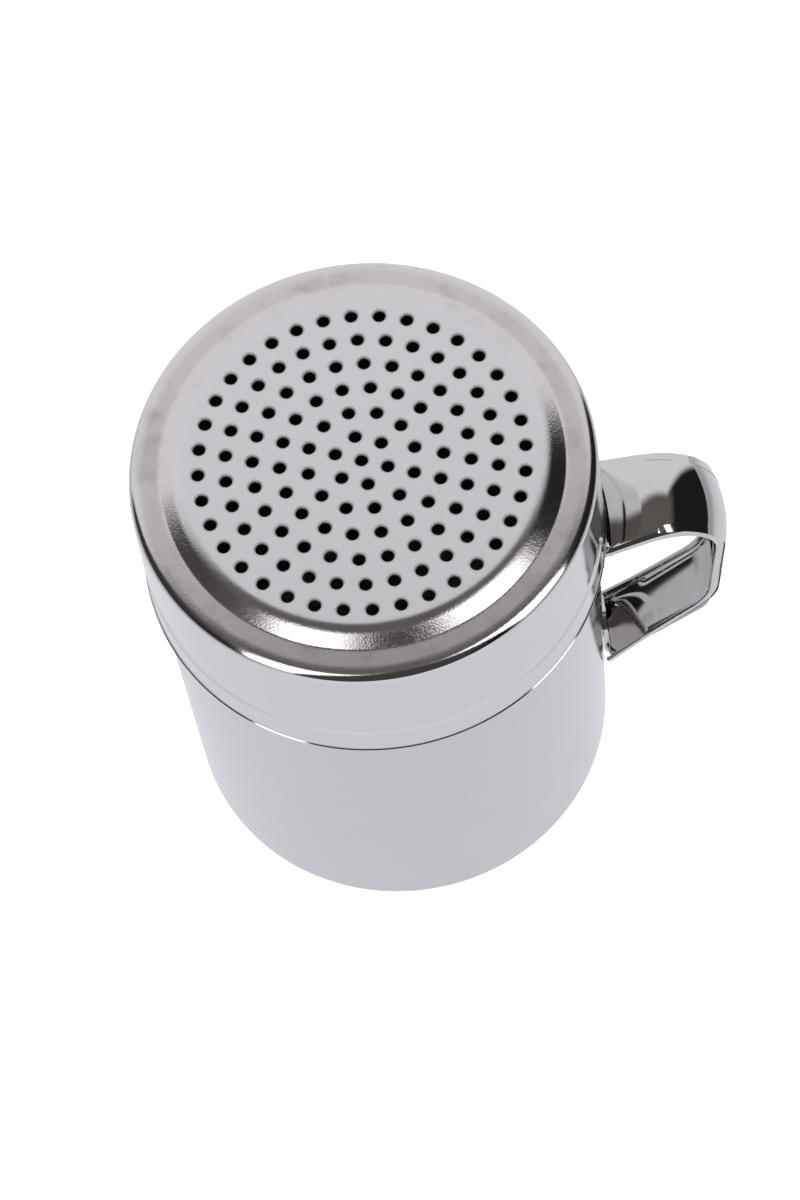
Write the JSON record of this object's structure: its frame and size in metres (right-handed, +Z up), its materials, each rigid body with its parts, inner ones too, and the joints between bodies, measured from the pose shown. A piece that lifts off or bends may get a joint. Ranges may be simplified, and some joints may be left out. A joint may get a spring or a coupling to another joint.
{
  "type": "spice shaker",
  "caption": "Cylindrical stainless steel spice shaker: a drawn cup with a press-on perforated lid and a welded channel-strip handle on its side.",
  "frame": {"origin": "on the cup's axis, in the flat underside that the shaker stands on", "axes": "+Z up along the cup's axis and out through the lid, +X from the axis through the middle of the handle, +Y across the handle, to its left when it is seen from outside with the lid up"},
  "size_m": [0.0919, 0.0724, 0.0945],
  "materials": {
    "cup_steel": "stainless sheet, polished to a soft sheen",
    "lid_steel": "stainless sheet, satin on top, polished on the skirt",
    "handle_steel": "stainless strip, tumbled to a mirror polish",
    "weld_steel": "fused stainless steel, dull"
  },
  "bodies": {
    "shaker_body": {"cup": "cup_steel", "handle": "handle_steel", "handle_spot_welds": "weld_steel"},
    "lid": {"perforated_lid": "lid_steel"}
  },
  "joints": [
    {"name": "lid_lift", "type": "slide", "parent": "shaker_body", "child": "lid", "axis": [0, 0, 1], "range_m": [0, 0.05]}
  ]
}
